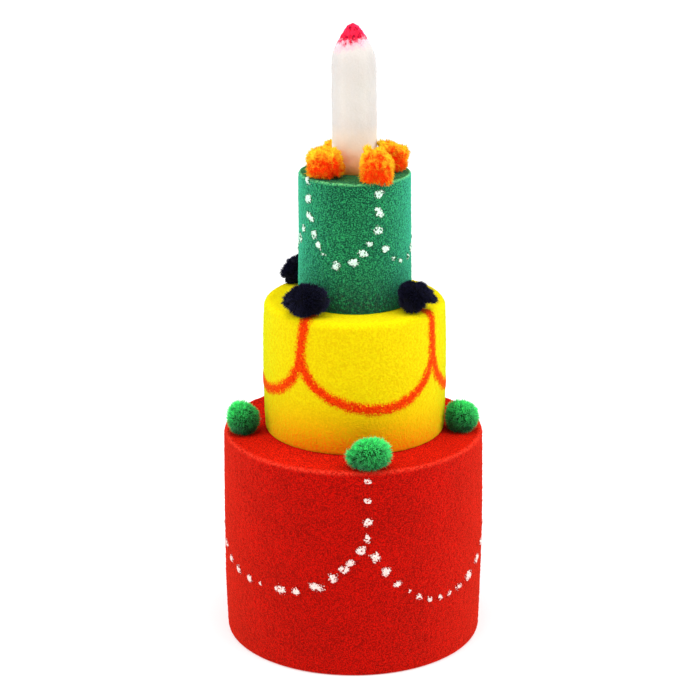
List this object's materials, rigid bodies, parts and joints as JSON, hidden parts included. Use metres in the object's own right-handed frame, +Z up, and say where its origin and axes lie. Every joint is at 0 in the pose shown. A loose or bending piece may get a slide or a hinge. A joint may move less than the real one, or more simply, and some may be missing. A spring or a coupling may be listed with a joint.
{
  "type": "toy sponge birthday cake",
  "caption": "Tall tiered toy birthday cake in soft sponge foam, with fluffy pompoms, painted garlands and a tall candle on top.",
  "frame": {"origin": "centre of the flat underside of the bottom tier, on the surface it stands on", "axes": "+Z up along the candle, front faces -Y, +X to the right seen from the front"},
  "size_m": [0.1227, 0.1232, 0.2879],
  "materials": {
    "red_foam": "matt open-cell sponge with white paint dabs",
    "yellow_foam": "matt open-cell sponge with an orange painted line",
    "green_foam": "matt open-cell sponge with white paint dabs",
    "white_foam": "fine matt sponge, sprayed pink at the tip",
    "green_yarn": "fluffy matt yarn",
    "navy_yarn": "fluffy matt yarn",
    "orange_yarn": "fluffy matt yarn with golden ends"
  },
  "bodies": {
    "root": {"red_tier": "red_foam", "yellow_tier": "yellow_foam", "green_tier": "green_foam", "candle": "white_foam", "green_pompom_1": "green_yarn", "green_pompom_2": "green_yarn", "green_pompom_3": "green_yarn", "green_pompom_4": "green_yarn", "navy_pompom_1": "navy_yarn", "navy_pompom_2": "navy_yarn", "navy_pompom_3": "navy_yarn", "navy_pompom_4": "navy_yarn", "orange_pompom_1": "orange_yarn", "orange_pompom_2": "orange_yarn", "orange_pompom_3": "orange_yarn", "orange_pompom_4": "orange_yarn"}
  },
  "joints": []
}
